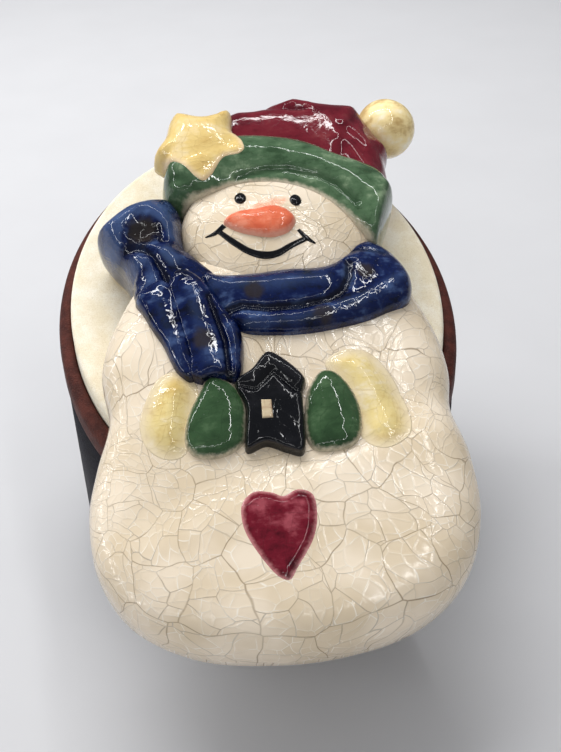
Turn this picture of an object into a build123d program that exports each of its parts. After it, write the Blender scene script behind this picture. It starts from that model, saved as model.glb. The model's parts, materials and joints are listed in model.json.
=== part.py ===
from build123d import *
import os

os.makedirs("parts", exist_ok=True)

# A flat-backed glazed snowman figure that lies face up on a round stand with a slanted top.
# All sizes are in millimetres. The origin is the centre of the stand's underside, +Z is up,
# and the low side of the slanted top faces -Y, where the snowman's foot hangs over the edge.

# Driving dimensions of the stand
stand_radius = 34.0
slope = 26.0            # tilt of the stand's top, degrees about X
rim_height = 42.0       # height of the rim plane at the stand's axis
rim_width = 2.4         # rolled leatherette edge around the pad
rim_depth = 4.0
rim_roll = 1.6          # radius of the rolled outer edge
wrap_thickness = 1.0
wrap_inset = 0.3        # the rim's roll stands this far proud of the wall
board_drop = 1.0        # the pad's board is let into the core this deep
pad_proud = 2.6         # pad surface above the rim plane
suede_thickness = 0.8
foot_thickness = 1.0
foot_inset = 1.5

# Driving dimensions of the figure, heights above its flat back
body_thickness = 13.0
body_corner = 6.0       # rounding of the outline's corners
front_edge = 4.5        # rounding of the front edges
back_edge = 1.8         # rounding of the back edges
head_thickness = 14.0
cuff_thickness = 15.5
crown_thickness = 13.5
star_thickness = 14.5
knot_thickness = 14.0
scarf_thickness = 16.0
tail_thickness = 15.6
pompom_radius = 5.5
mitten_thickness = 16.0
sleeve_thickness = 14.6
house_thickness = 15.2
heart_thickness = 13.9
nose_thickness = 16.4
slip_height = 0.4       # eyes, mouth and window are trailed this high
applied_floor = 6.0     # applied pieces are luted on from this height above the back
seat_gap = 0.05         # air between the flat back and the nap of the pad

# Frames: rim_frame lies in the slanted rim plane, figure_frame on the pad's surface.
# In figure_frame X is to the viewer's right, Y runs up the figure and Z leaves its flat back.
rim_frame = Pos(0, 0, rim_height) * Rot(slope, 0, 0)
figure_frame = rim_frame * Pos(0, 0, pad_proud + seat_gap)


# ---------------------------------------------------------------- helpers
def below(level):
    """Everything under a plane parallel to the rim plane, level above it."""
    block = Box(300, 300, 300, align=(Align.CENTER, Align.CENTER, Align.MAX))
    return rim_frame * Pos(0, 0, level) * block


def upright(radius, level):
    """An upright cylinder on the foot whose top is cut off at a level of the rim frame."""
    blank = Cylinder(radius, 150, align=(Align.CENTER, Align.CENTER, Align.MIN))
    return Pos(0, 0, foot_thickness) * blank & below(level)


def cut_back(piece, neighbours):
    """The piece less every neighbour that it is luted on to."""
    return piece - list(neighbours)


def rounded(corners, radius):
    """A closed face of straight runs with every corner rounded."""
    face = make_face(Polyline(*corners, close=True))
    return fillet(face.vertices(), radius)


def slab(face, bottom, top, front=0.0, back=0.0):
    """A slab of clay with rounded front and back edges."""
    block = Pos(0, 0, bottom) * extrude(face, amount=top - bottom)
    if front:
        block = fillet(block.faces().sort_by(Axis.Z)[-1].edges(), front)
    if back:
        block = fillet(block.faces().sort_by(Axis.Z)[0].edges(), back)
    return block


def ellipse_face(centre, half_width, half_height, turn=0.0):
    return Pos(*centre) * Rot(0, 0, turn) * Ellipse(half_width, half_height).face()


def save(shape, name):
    export_step(shape, f"parts/{name}.step")


# ---------------------------------------------------------------- the stand
def stand_foot():
    """Felt disc that the stand rests on."""
    radius = stand_radius - foot_inset
    return Cylinder(radius, foot_thickness, align=(Align.CENTER, Align.CENTER, Align.MIN))


def stand_core():
    """Solid core, stepped under the rim and let in for the pad's board."""
    wide = upright(stand_radius - wrap_inset - wrap_thickness, -rim_depth)
    return wide + upright(stand_radius - rim_width, -board_drop)


def stand_wrap():
    """Leatherette wrapped round the wall up to the rim."""
    outer = upright(stand_radius - wrap_inset, -rim_depth)
    return outer - upright(stand_radius - wrap_inset - wrap_thickness, -rim_depth)


def stand_rim():
    """Rolled edge that covers the top of the wrap and holds the pad."""
    solid = upright(stand_radius, 0) - below(-rim_depth)
    solid = fillet(solid.faces().sort_by(Axis.Z)[-1].edges(), rim_roll)
    return solid - upright(stand_radius - rim_width, 10)


def stand_board():
    """Stiff board inside the pad."""
    radius = stand_radius - rim_width - suede_thickness
    return upright(radius, pad_proud - suede_thickness) - below(-board_drop)


def stand_suede():
    """Suede cover drawn over the board's face and edge."""
    cover = upright(stand_radius - rim_width, pad_proud) - below(-board_drop)
    cover = fillet(cover.faces().sort_by(Axis.Z)[-1].edges(), suede_thickness)
    return cover - stand_board()


# ---------------------------------------------------------------- outlines of the figure
# Corners of each outline in figure_frame, before rounding.
body_corners = [
    (-12, 3), (-20.6, -0.4), (-26.4, -9.4), (-27.8, -18), (-26.4, -24), (-30.8, -34),
    (-31.9, -43), (-29.4, -51.4), (-22.4, -58.6), (-11, -62), (4, -62.6), (17, -59.8),
    (24, -52.4), (26.7, -41), (25.6, -33), (25, -26), (27.1, -19.6), (25.6, -8), (20, 0.4), (12, 3),
]
cuff_corners = [
    (-14.2, 13.2), (-14.4, 19.5), (-8, 25), (0, 26), (10, 24), (15, 20.4), (22.4, 16.8),
    (25.2, 12), (21.4, 0.4), (17.4, 0.8), (15.2, 7), (11, 12), (4, 15.2), (-3, 15.4), (-9, 13.4),
]
crown_corners = [
    (-4, 22), (-4, 31.6), (1.2, 34.2), (7.2, 34.8), (11.2, 36.4), (17, 34), (24.6, 33.6),
    (26.6, 25), (26, 13.5), (17, 14), (7, 20),
]
knot_corners = [
    (-21.2, -4), (-21.8, 2.8), (-26.4, 10), (-25, 14), (-18.4, 17.4), (-11.6, 17.2),
    (-10.6, 8), (-7, -1), (-6.8, -10), (-13, -11.4), (-19, -9),
]
tail_left_corners = [
    (-20.8, -1), (-18.6, -11), (-16, -20.6), (-13, -20.4), (-13.7, -10), (-14.6, -1),
]
tail_right_corners = [
    (-14.6, -1), (-13.7, -10), (-13, -21.4), (-9, -22.2), (-5.6, -20.8), (-5, -12.6), (-10, -1),
]
band_corners = [
    (-10, -0.4), (-3.6, -2.4), (11, -2.8), (15.5, 0.6), (19.8, 2.9), (23, -2), (23.8, -7.5),
    (21, -11.8), (14, -14), (6, -14.8), (-3, -14), (-8.5, -10.6), (-11, -4.5),
]
star_tips = [(-10.6, 33), (0.2, 32.2), (1.6, 20), (-7.1, 14.4), (-16, 22.6)]
star_notches = [(-5.4, 30.2), (-0.6, 26.2), (-3.2, 19.4), (-10.2, 19.4), (-12, 27)]
mitten_left_corners = [
    (-12.2, -19.8), (-16, -26), (-16.2, -32), (-12, -34.2), (-7.4, -32.4), (-6.2, -27.4), (-9, -20),
]
mitten_right_corners = [
    (4, -21), (1.2, -27), (0.9, -34), (5, -35.6), (9.6, -33.8), (10.2, -28), (7, -21.6),
]
sleeve_left_corners = [
    (-14, -17), (-18.6, -17), (-22.4, -22.6), (-22.4, -30), (-19, -32.4), (-14.8, -32.4), (-13, -26),
]
sleeve_right_corners = [
    (7, -19), (10.4, -16.8), (15, -17.4), (17.4, -22.6), (19, -29), (17.4, -34.4), (12.6, -36),
    (9, -34),
]
heart_corners = [
    (-5.6, -53.4), (-9.6, -46.5), (-9.9, -40), (-7, -38.6), (-4.1, -40.8), (-1, -39.4),
    (1.4, -42), (0.4, -47.4),
]
house_corners = [
    (-1.8, -17.2), (3.1, -22.6), (2.4, -24.4), (0.6, -34.4), (-1.6, -33.6), (-4.4, -32.2),
    (-7.4, -32.8), (-6.6, -26), (-7.6, -21.6), (-5, -20),
]
mouth_line = [(-5.9, 6), (-1.6, 1.3), (1.6, 0.2), (5, 1.3), (7.6, 2.3)]
mouth_ticks = [[(-8.2, 5.7), (-4.9, 6.9)], [(6.6, 4), (9, 1.3)]]
mouth_stroke = 0.9
eye_centres = [(-1.6, 11.7), (7.2, 9.8)]
eye_radius = 0.95
head_centre = (4.2, 7.4)
nose_centre = (0.8, 6.2)
pompom_centre = (27.7, 29.6, 6.4)


# ---------------------------------------------------------------- the figure
def body():
    """Belly and chest, one slab of clay with a waist."""
    return slab(rounded(body_corners, body_corner), 0, body_thickness, front_edge, back_edge)


def head():
    """Round head behind the face; the hat and the scarf cover its edge."""
    return slab(ellipse_face(head_centre, 16.6, 14.2, -6), 0, head_thickness, 3, 1)


def hat_cuff():
    """Rolled-up brim, a thick curved band over the forehead."""
    return slab(rounded(cuff_corners, 1.6), 0, cuff_thickness, 1.2)


def hat_crown():
    """Soft cap that falls over to the right."""
    return slab(rounded(crown_corners, 2.0), 0, crown_thickness, 1.6)


def pompom():
    """Ball at the tip of the hat."""
    return Pos(*pompom_centre) * Sphere(pompom_radius)


def star():
    """Five-pointed star with rounded tips, on the hat's left side."""
    corners = [corner for pair in zip(star_tips, star_notches) for corner in pair]
    return slab(rounded(corners, 1.0), applied_floor, star_thickness, 0.8)


def scarf_knot():
    """Bunched loop of the scarf on the left shoulder."""
    return slab(rounded(knot_corners, 2.4), 0, knot_thickness, 2.0)


def scarf_tail(corners):
    """One hanging end of the scarf."""
    return slab(rounded(corners, 1.5), applied_floor, tail_thickness, 1.2)


def scarf_band():
    """Scarf round the neck."""
    return slab(rounded(band_corners, 2.0), 0, scarf_thickness, 1.6)


def mitten(corners):
    return slab(rounded(corners, 2.4), applied_floor, mitten_thickness, 2.0)


def sleeve(corners):
    return slab(rounded(corners, 2.0), applied_floor, sleeve_thickness, 1.2)


def heart():
    return slab(rounded(heart_corners, 1.0), applied_floor, heart_thickness, 0.5)


def nose():
    """Carrot nose, seen end on."""
    return slab(ellipse_face(nose_centre, 5.3, 2.9, -8), 10, nose_thickness, 1.4)


def eyes():
    """Two drops of black slip."""
    drop = Cylinder(eye_radius, 2)
    drops = Pos(*eye_centres[0]) * drop + Pos(*eye_centres[1]) * drop
    return Pos(0, 0, head_thickness + slip_height - 1) * drops


def mouth():
    """Smile trailed in black slip, with a tick at each end."""
    strokes = [Spline(*mouth_line)] + [Line(*tick) for tick in mouth_ticks]
    line = extrude(trace(strokes, mouth_stroke), amount=1 + slip_height)
    return Pos(0, 0, head_thickness - 1) * line


def birdhouse():
    """Black birdhouse held between the mittens."""
    return slab(rounded(house_corners, 0.5), applied_floor, house_thickness, 0.4)


def birdhouse_window():
    """Pale chip of slip for the birdhouse's opening."""
    return Pos(-3.4, -27, house_thickness) * Box(1.4, 2.8, 2 * slip_height)


# ---------------------------------------------------------------- assembly
def build_figure():
    """Every piece of the figure, each cut back to the pieces that it is luted on to."""
    made = {"body": body()}

    def add(name, piece, *under):
        made[name] = cut_back(piece, [made[other] for other in under])

    add("head", head(), "body")
    add("hat_cuff", hat_cuff(), "body", "head")
    add("hat_crown", hat_crown(), "head", "hat_cuff")
    add("pompom", pompom(), "hat_crown")
    add("star", star(), "hat_crown", "hat_cuff", "head")
    add("scarf_knot", scarf_knot(), "body", "head", "hat_cuff")
    add("scarf_tail_left", scarf_tail(tail_left_corners), "body", "scarf_knot")
    add("scarf_tail_right", scarf_tail(tail_right_corners), "body", "scarf_knot", "scarf_tail_left")
    tails = ("scarf_knot", "scarf_tail_left", "scarf_tail_right")
    add("scarf_band", scarf_band(), "body", "head", "hat_cuff", *tails)
    add("birdhouse", birdhouse(), "body", "scarf_tail_right")
    add("birdhouse_window", birdhouse_window(), "birdhouse")
    add("mitten_left", mitten(mitten_left_corners), "body", "birdhouse", *tails)
    add("mitten_right", mitten(mitten_right_corners), "body", "birdhouse")
    add("sleeve_left", sleeve(sleeve_left_corners), "body", "mitten_left", *tails)
    add("sleeve_right", sleeve(sleeve_right_corners), "body", "mitten_right")
    add("heart", heart(), "body")
    add("nose", nose(), "body", "head")
    add("eyes", eyes(), "head")
    add("mouth", mouth(), "body", "head", "nose")
    return made


for name, shape in build_figure().items():
    save(figure_frame * shape, name)

for make in (stand_foot, stand_core, stand_wrap, stand_rim, stand_board, stand_suede):
    save(make(), make.__name__)
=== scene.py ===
import json
import math
from dataclasses import dataclass

import bpy
import numpy as np
from mathutils import Matrix, Vector
from mathutils.geometry import delaunay_2d_cdt


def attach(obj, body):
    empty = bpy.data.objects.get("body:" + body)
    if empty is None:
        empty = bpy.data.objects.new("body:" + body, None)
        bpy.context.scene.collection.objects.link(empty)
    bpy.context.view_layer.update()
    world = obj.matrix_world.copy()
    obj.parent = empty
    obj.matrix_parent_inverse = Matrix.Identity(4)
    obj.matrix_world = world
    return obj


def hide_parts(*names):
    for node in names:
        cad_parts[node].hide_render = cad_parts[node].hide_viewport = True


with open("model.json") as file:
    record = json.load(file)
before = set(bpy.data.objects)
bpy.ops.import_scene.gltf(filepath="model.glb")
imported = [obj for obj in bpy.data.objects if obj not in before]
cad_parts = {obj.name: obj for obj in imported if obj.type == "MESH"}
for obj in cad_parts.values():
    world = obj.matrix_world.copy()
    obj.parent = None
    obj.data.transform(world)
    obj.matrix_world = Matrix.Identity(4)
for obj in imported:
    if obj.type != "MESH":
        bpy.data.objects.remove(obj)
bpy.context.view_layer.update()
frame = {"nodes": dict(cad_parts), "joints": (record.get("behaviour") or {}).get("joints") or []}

# A glazed ceramic snowman that lies face up on a round, slanted display stand.
# The figure is modelled in its own flat frame, in millimetres: x to the viewer's right,
# y up the figure, z out of its flat back. to_row() carries that frame into the row frame.

MM = 0.001
RIM_HEIGHT = 42.0  # height of the stand's rim plane at its axis
PAD_PROUD = 2.6  # pad surface above the rim plane
SEAT_GAP = 0.05
lift = next(joint for joint in frame["joints"] if joint["name"] == "figure_lift")
SLOPE = math.atan2(-lift["axis"][1], lift["axis"][2])

figure_matrix = (Matrix.Translation((0, 0, RIM_HEIGHT)) @ Matrix.Rotation(SLOPE, 4, "X")
                 @ Matrix.Translation((0, 0, PAD_PROUD + SEAT_GAP)))


def to_row(points):
    """Figure millimetres to row-frame metres."""
    matrix = np.array(figure_matrix)
    return (points @ matrix[:3, :3].T + matrix[:3, 3]) * MM


# ---- outlines and distances
def catmull_rom(p, knots, t):
    """Point at t of the centripetal Catmull-Rom run between the middle two of four points."""
    def blend(a, b, start, end):
        return a + (t - start) / (end - start) * (b - a)

    first = [blend(p[i], p[i + 1], knots[i], knots[i + 1]) for i in range(3)]
    second = [blend(first[i], first[i + 1], knots[i], knots[i + 2]) for i in range(2)]
    return blend(second[0], second[1], knots[1], knots[2])


def smooth_run(p, steps=24):
    """Points of the curve between the middle two of four points."""
    knots = [0.0]
    for a, b in zip(p, p[1:]):
        knots.append(knots[-1] + math.sqrt(np.linalg.norm(b - a)))
    return [catmull_rom(p, knots, t) for t in np.linspace(knots[1], knots[2], steps, endpoint=False)]


def smooth_loop(corners, spacing):
    """An evenly spaced closed curve through the corners."""
    corners = np.array(corners, float)
    count = len(corners)
    curve = []
    for i in range(count):
        curve += smooth_run([corners[(i + k) % count] for k in (-1, 0, 1, 2)])
    return even_loop(np.array(curve), spacing)


def smooth_line(corners):
    """An open curve through the corners."""
    corners = np.array(corners, float)
    ends = np.vstack([2 * corners[0] - corners[1], corners, 2 * corners[-1] - corners[-2]])
    curve = []
    for i in range(len(corners) - 1):
        curve += smooth_run(list(ends[i:i + 4]))
    return np.array(curve + [corners[-1]])


def even_loop(points, spacing):
    """The closed polyline with its points spread evenly."""
    closed = np.vstack([points, points[:1]])
    steps = np.hypot(*np.diff(closed, axis=0).T)
    along = np.concatenate([[0], np.cumsum(steps)])
    count = max(8, int(round(along[-1] / spacing)))
    wanted = np.linspace(0, along[-1], count, endpoint=False)
    return np.column_stack([np.interp(wanted, along, closed[:, k]) for k in (0, 1)])


def counter_clockwise(loop):
    x, y = loop.T
    area = np.sum(x * np.roll(y, -1) - np.roll(x, -1) * y)
    return loop if area > 0 else loop[::-1]


def inward(loop):
    """Unit directions into a counter-clockwise loop, square to it."""
    heading = np.roll(loop, -1, axis=0) - np.roll(loop, 1, axis=0)
    heading /= np.hypot(*heading.T)[:, None]
    return np.column_stack([-heading[:, 1], heading[:, 0]])


def distance_to(points, line, closed=False):
    """Distance from each point to a polyline."""
    starts = np.array(line, float)
    ends = np.roll(starts, -1, axis=0)
    if not closed:
        starts, ends = starts[:-1], ends[:-1]
    best = np.full(len(points), 1e9)
    for a, b in zip(starts, ends):
        run = b - a
        along = np.clip((points - a) @ run / (run @ run + 1e-12), 0, 1)
        best = np.minimum(best, np.hypot(*(points - a - along[:, None] * run).T))
    return best


def inside(points, loop):
    """True for the points inside a closed loop."""
    hit = np.zeros(len(points), bool)
    x, y = points.T
    for (ax, ay), (bx, by) in zip(loop, np.roll(loop, -1, axis=0)):
        if ay == by:
            continue
        crosses = (ay > y) != (by > y)
        hit ^= crosses & (x < (bx - ax) * (y - ay) / (by - ay) + ax)
    return hit


def depth_in(points, loop):
    """Distance inside a closed loop, negative outside it."""
    away = distance_to(points, loop, closed=True)
    return np.where(inside(points, loop), away, -away)


# ---- relief shapes
def round_distance(points, centre, radii, turn):
    """Squared distance from a centre, 1 on an ellipse with these radii, turned by some degrees."""
    c, s = math.cos(math.radians(turn)), math.sin(math.radians(turn))
    off = points - np.array(centre)
    u = (off[:, 0] * c + off[:, 1] * s) / radii[0]
    v = (off[:, 1] * c - off[:, 0] * s) / radii[1]
    return u * u + v * v


def bump(points, centre, spread, turn=0.0):
    """A soft hill of height 1 at centre."""
    return np.exp(-round_distance(points, centre, spread, turn))


def dome(points, centre, radii, turn=0.0):
    """A round cushion of height 1 that ends at an ellipse."""
    return np.sqrt(np.clip(1 - round_distance(points, centre, radii, turn), 0, 1))


def creases(points, lines):
    """Ridges, and grooves where the height is negative, from (height, width, line) rows."""
    total = np.zeros(len(points))
    for height, width, line in lines:
        total += height * np.exp(-(distance_to(points, line) / width) ** 2)
    return total


def ripple(points, size, seed):
    """Slow waves of about -1 to 1, as a hand leaves them in clay."""
    random = np.random.default_rng(seed)
    total = np.zeros(len(points))
    for _ in range(6):
        angle, phase = random.uniform(0, 2 * math.pi, 2)
        pace = random.uniform(0.6, 1.5) * 2 * math.pi / size
        total += np.sin((points @ np.array([math.cos(angle), math.sin(angle)])) * pace + phase)
    return total / 3.5


FAN_LEVEL = -32.0  # height up the body that its cracks fan out from
FAN_SIZE = 34.0
BACK_BORDER = 1.4  # glaze runs this far round onto the bare back
RING_STEP = 0.07  # rings nearer than this are left out
ROW_PITCH = 0.866  # rows of even triangles
LUTED_FLOOR = 10  # lowest height of a piece luted onto the slab or the face
OUTSIDE = -100.0  # height that stands for nothing there
FAR = 9.0  # contact distance that stands for no contact


@dataclass
class Relief:
    """A piece of clay: an outline, a rounded front edge and a front surface."""
    name: str
    loop: np.ndarray
    height: object  # a number, or a function of the points
    edge: float  # width of the rounded edge
    floor: float  # lowest height of the outline
    under: tuple = ()  # pieces that it lies on
    rise: bool = False  # height is above what it lies on
    power: float = 2.2  # fullness of the rounded edge
    soft: bool = False  # the edge fades out like a wash
    detail: object = None  # folds and grooves, a function of the points
    back: float = None  # rounding of the back edge, None for a piece luted on
    back_level: float = 0.0
    sink: float = 1.0  # how deep a luted piece reaches below its edge
    spacing: float = 0.45  # size of the mesh's triangles

    def __post_init__(self):
        self.loop = counter_clockwise(self.loop)

    def base(self, points):
        level = np.full(len(points), float(self.floor))
        for other in self.under:
            level = np.maximum(level, other.top(points))
        return level

    def profile(self, depth):
        t = np.clip(depth / self.edge, 0, 1)
        if self.soft:
            return t * t * (3 - 2 * t)
        return (1 - (1 - t) ** self.power) ** (1 / self.power)

    def front(self, points, depth):
        """Height of the front surface at points inside the outline."""
        base = self.base(points)
        height = self.height(points) if callable(self.height) else self.height
        full = base + height if self.rise else np.maximum(height, base + 0.2)
        rounded = self.profile(depth)
        relief = self.detail(points) if self.detail else 0.0
        return base + (full - base + relief) * rounded

    def top(self, points):
        """Height of the front surface, far below everything outside the outline."""
        lo, hi = self.loop.min(0), self.loop.max(0)
        near = np.all((points >= lo) & (points <= hi), axis=1)
        level = np.full(len(points), OUTSIDE)
        if near.any():
            depth = depth_in(points[near], self.loop)
            level[near] = np.where(depth > 0, self.front(points[near], np.maximum(depth, 0)), OUTSIDE)
        return level

    def low(self, points, depth):
        """Height of the back surface."""
        if self.back is None:
            return self.base(points) - self.sink
        t = np.clip(depth / self.back, 0, 1)
        round_off = np.sqrt(1 - (1 - t) ** 2)
        return self.floor + (self.back_level - self.floor) * round_off

    def build(self):
        points, triangles, rim = fill(self.loop, self.edge, self.back, self.spacing)
        none = np.zeros(len(points))
        depth = distance_to(points, self.loop, closed=True)
        depth[rim] = 0
        front = self.front(points, depth)
        back = self.low(points, depth)
        values = {
            "spot": (self.spots(points), none),
            "contact": (self.contact(points), none + FAR),
            "relief": (self.detail(points) if self.detail else none, none),
            "cover": (none + 1, np.clip(1 - depth / BACK_BORDER, 0, 1)),
        }
        return closed_shell(self, points, triangles, rim, front, back, values)

    def lay_crackle(self, mesh, flat, points, front, front_count):
        """Unrolls the front and its sides into the plane that the crackle is drawn in."""
        nearest = np.array([np.argmin(np.hypot(*(self.loop - spot).T)) for spot in points])
        drop = np.maximum(np.percentile(front, 75) - front, 0)
        plane = self.crackle_plane(points - inward(self.loop)[nearest] * drop[:, None])
        corners = np.zeros(len(mesh.loops), np.int32)
        mesh.loops.foreach_get("vertex_index", corners)
        laid = flat[corners].astype(np.float32)
        laid[:3 * front_count, :2] = plane[corners[:3 * front_count]]
        laid[:, 2] = 0
        layer = mesh.attributes.new("crackle_place", "FLOAT_VECTOR", "CORNER")
        layer.data.foreach_set("vector", laid.ravel())

    def crackle_plane(self, points):
        """Cracks meet the body's outline square on, so its plane fans out from the waist."""
        if self.name != "body":
            return points
        fan = FAN_SIZE * np.arcsinh(((FAN_LEVEL - points[:, 1]) + 1j * points[:, 0]) / FAN_SIZE)
        return np.column_stack([fan.imag, -fan.real])

    def spots(self, points):
        """1 at the middle of each brown spot on the scarf, and of the blush over the nose."""
        if self.name == "head":
            return bump(points, blush_centre, (4.2, 1.5), 8)
        if not self.name.startswith("scarf"):
            return np.zeros(len(points))
        return np.max([bump(points, centre, (size, size)) for centre, size in scarf_spots], axis=0)

    def contact(self, points):
        """Distance to the part of the outline that touches a piece below, up to FAR."""
        touching = self.loop[self.base(self.loop) > self.floor + 0.5]
        nearest = np.full(len(points), FAR)
        for spot in touching:
            nearest = np.minimum(nearest, np.hypot(*(points - spot).T))
        return nearest


def fill(loop, edge, back, spacing):
    """Points and triangles inside a loop: rings that close up towards the rim, then an even net."""
    turns = np.radians([20, 36, 52, 68, 84])
    depths = {round(edge * (1 - math.cos(turn)), 3) for turn in turns}
    if back:
        depths |= {round(back * (1 - math.cos(turn)), 3) for turn in turns[:3]}
    rings, last = [], 0.0
    for wanted in sorted(depths):
        if wanted - last < RING_STEP:
            continue
        ring = loop + inward(loop) * wanted
        clear = (distance_to(ring, loop, closed=True) > 0.97 * wanted) & inside(ring, loop)
        rings.append(ring[clear])
        last = wanted
    lo, hi = loop.min(0), loop.max(0)
    rows = []
    for k, y in enumerate(np.arange(lo[1], hi[1], spacing * ROW_PITCH)):
        x = np.arange(lo[0] + (k % 2) * spacing / 2, hi[0], spacing)
        rows.append(np.column_stack([x, np.full(len(x), y)]))
    net = np.vstack(rows)
    net = net[depth_in(net, loop) > last + 0.45 * spacing]
    points = np.vstack([loop, *rings, net])
    count = len(loop)
    rim_edges = [(i, (i + 1) % count) for i in range(count)]
    made = delaunay_2d_cdt([Vector(p) for p in points], rim_edges, [], 1, 1e-5)
    coords, faces, sources = np.array([tuple(v) for v in made[0]]), made[2], made[3]
    place = {source: i for i, group in enumerate(sources) for source in group}
    return coords, faces, [place[i] for i in range(count)]


def closed_shell(piece, points, triangles, rim, front, back, values):
    """Joins the front and the back surface along the outline. Each value has its front and back part."""
    count = len(points)
    shared = set(rim) if piece.back is not None else set()
    kept = [i for i in range(count) if i not in shared]
    below = {i: i for i in shared}
    below.update({i: count + k for k, i in enumerate(kept)})
    faces = [tuple(t) for t in triangles]
    faces += [tuple(below[i] for i in reversed(t)) for t in triangles]
    if not shared:
        faces += [(a, below[a], below[b], b) for a, b in zip(rim, rim[1:] + rim[:1])]
    flat = np.vstack([np.column_stack([points, front]), np.column_stack([points, back])[kept]])
    attributes = {name: np.concatenate([upper, lower[kept]]) for name, (upper, lower) in values.items()}
    shell = make_mesh(piece.name, to_row(flat), faces, flat, attributes)
    piece.lay_crackle(shell.data, flat, points, front, len(triangles))
    return shell


def add_object(name, data):
    obj = bpy.data.objects.new(name, data)
    bpy.context.scene.collection.objects.link(obj)
    return obj


def make_mesh(name, points, faces, place, attributes):
    """A smooth-shaded object. Its place in millimetres and other values are kept for the materials."""
    mesh = bpy.data.meshes.new(name)
    mesh.from_pydata([tuple(p) for p in points], [], faces)
    mesh.update()
    mesh.polygons.foreach_set("use_smooth", [True] * len(mesh.polygons))
    layer = mesh.attributes.new("place", "FLOAT_VECTOR", "POINT")
    layer.data.foreach_set("vector", np.asarray(place, np.float32).ravel())
    for key, values in attributes.items():
        layer = mesh.attributes.new(key, "FLOAT", "POINT")
        layer.data.foreach_set("value", np.asarray(values, np.float32))
    return add_object(name, mesh)


def merge(name, objects):
    """One object from several."""
    with bpy.context.temp_override(active_object=objects[0], object=objects[0],
                                   selected_editable_objects=objects, selected_objects=objects):
        bpy.ops.object.join()
    objects[0].name = name
    objects[0].data.name = name
    return objects[0]


# ---- outlines of the figure
outlines = {}  # corner points of each piece
outlines["body"] = [
    (-17, 3), (-24.4, -6.3), (-27.2, -14), (-26.9, -22.5), (-29.4, -30), (-31.2, -37), (-30.8, -46),
    (-27, -53.5), (-19, -59), (-9, -61.5), (2, -62.1), (13, -60.2), (21, -55), (25.3, -46.5),
    (26.2, -37), (25.2, -28.5), (26.6, -21.5), (25.5, -12), (19, 2), (2, 5),
]
outlines["hat_cuff"] = [
    (-11.2, 14), (-13.4, 15.4), (-13.8, 18.8), (-12.6, 22), (-7, 24.6), (0, 25.2), (6, 24.2), (11, 22.6),
    (15.4, 19.6), (20, 17), (23.4, 14.4), (24.6, 11.6), (23.5, 8.6), (22, 5.6), (20.6, 3), (19.2, 1.2),
    (17, 3.8), (15, 6.9), (12.3, 10.1), (9.2, 12.4), (5.2, 14.2), (1.2, 15), (-2.4, 15.1), (-6.6, 14.2),
]
outlines["hat_crown"] = [
    (-3, 22), (-3, 31), (0.3, 33.2), (4, 33.2), (8, 34), (10.8, 34.8), (13.4, 34.2), (17.7, 33.2),
    (22.2, 32.6), (24, 29), (25.2, 25.8), (26.4, 22.8), (25.4, 20.4), (24.6, 15), (20, 12), (8, 19),
]
outlines["scarf_knot"] = [
    (-20.6, -3.4), (-20.8, -0.6), (-21.4, 2.2), (-22.2, 4.4), (-23.9, 7), (-25.3, 9.8), (-25.5, 11.6),
    (-24.2, 13), (-22, 14.6), (-19.4, 16), (-17.4, 16.7), (-15, 17), (-12.6, 16.4), (-11.2, 14),
    (-11, 10), (-11.2, 6.8), (-10.6, 4), (-9.4, 1.4), (-7.6, -1.6), (-6.8, -6), (-8, -10), (-13, -10.5),
    (-17.4, -9), (-19.6, -6),
]
outlines["scarf_tail_left"] = [
    (-18, -2.6), (-20.6, -4.2), (-19.6, -7.4), (-18.4, -10.8), (-17.2, -13.6), (-16.5, -16.2),
    (-15.6, -18.6), (-14, -20.2), (-12.8, -19.4), (-12.6, -16), (-13, -11.9), (-13.4, -8), (-14, -3.6),
    (-16, -2),
]
outlines["scarf_tail_right"] = [
    (-15, -2.4), (-14.6, -7), (-14, -12), (-13.5, -16.5), (-13.7, -19.8), (-12.2, -20.8),
    (-10.6, -20.4), (-8.7, -20.8), (-7.1, -21.4), (-6.1, -20), (-5.5, -17.6), (-5.1, -14.2),
    (-5.5, -11.6), (-6.6, -9.4), (-8.2, -6), (-9.8, -2.8), (-12, -0.8), (-13.8, -0.8),
]
outlines["scarf_band"] = [
    (-9.4, -1.4), (-6.8, -2), (-3.6, -2.4), (4, -2.6), (8.6, -2.8), (11.4, -2.2), (14, -0.6), (16.2, 1.2),
    (18.6, 2), (20.4, 1.4), (22, -0.6), (23, -3.2), (23.5, -5.6), (23.2, -8), (21.6, -10.9), (18, -12.2),
    (14.2, -13.4), (7, -14.3), (0.7, -14), (-4.6, -12.9), (-6.4, -11), (-8, -8), (-9.2, -5),
]
star_tips = [(-10.4, 32.3), (-0.1, 31.5), (0.9, 20.2), (-7.1, 15), (-15.2, 22.8)]
star_notches = [(-5.4, 30.3), (-0.7, 26.2), (-3.2, 19.4), (-10.4, 19.2), (-12.4, 26.8)]
outlines["mitten_left"] = [
    (-11.2, -19.8), (-13.2, -22.4), (-15.4, -26.3), (-16.1, -29.9), (-15.1, -32), (-12.6, -32.9),
    (-9.8, -32.6), (-7.6, -31.2), (-6.8, -28.2), (-6.5, -25), (-8, -21.4),
]
outlines["mitten_right"] = [
    (5.6, -21.2), (3.4, -23.6), (2.1, -27.2), (1.5, -31.4), (2.3, -33.8), (5.1, -34.6), (8.2, -34.1),
    (9.9, -31.7), (10.4, -27.6), (9.2, -23.6), (7.4, -21.4),
]
outlines["sleeve_left"] = [
    (-15.6, -18), (-18.4, -18.6), (-20.9, -22.1), (-22.3, -26.1), (-21.6, -29.8), (-19.3, -31.9),
    (-16.8, -31.9), (-14.6, -29), (-13.4, -24.6), (-13.2, -20.4),
]
outlines["sleeve_right"] = [
    (6.6, -19.8), (9.9, -17.9), (13.5, -18.8), (15.9, -22.4), (17, -26.4), (17.5, -31.1), (16.4, -34),
    (12.4, -35.4), (9.8, -33.4), (9.2, -29), (8.4, -23.6),
]
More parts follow.
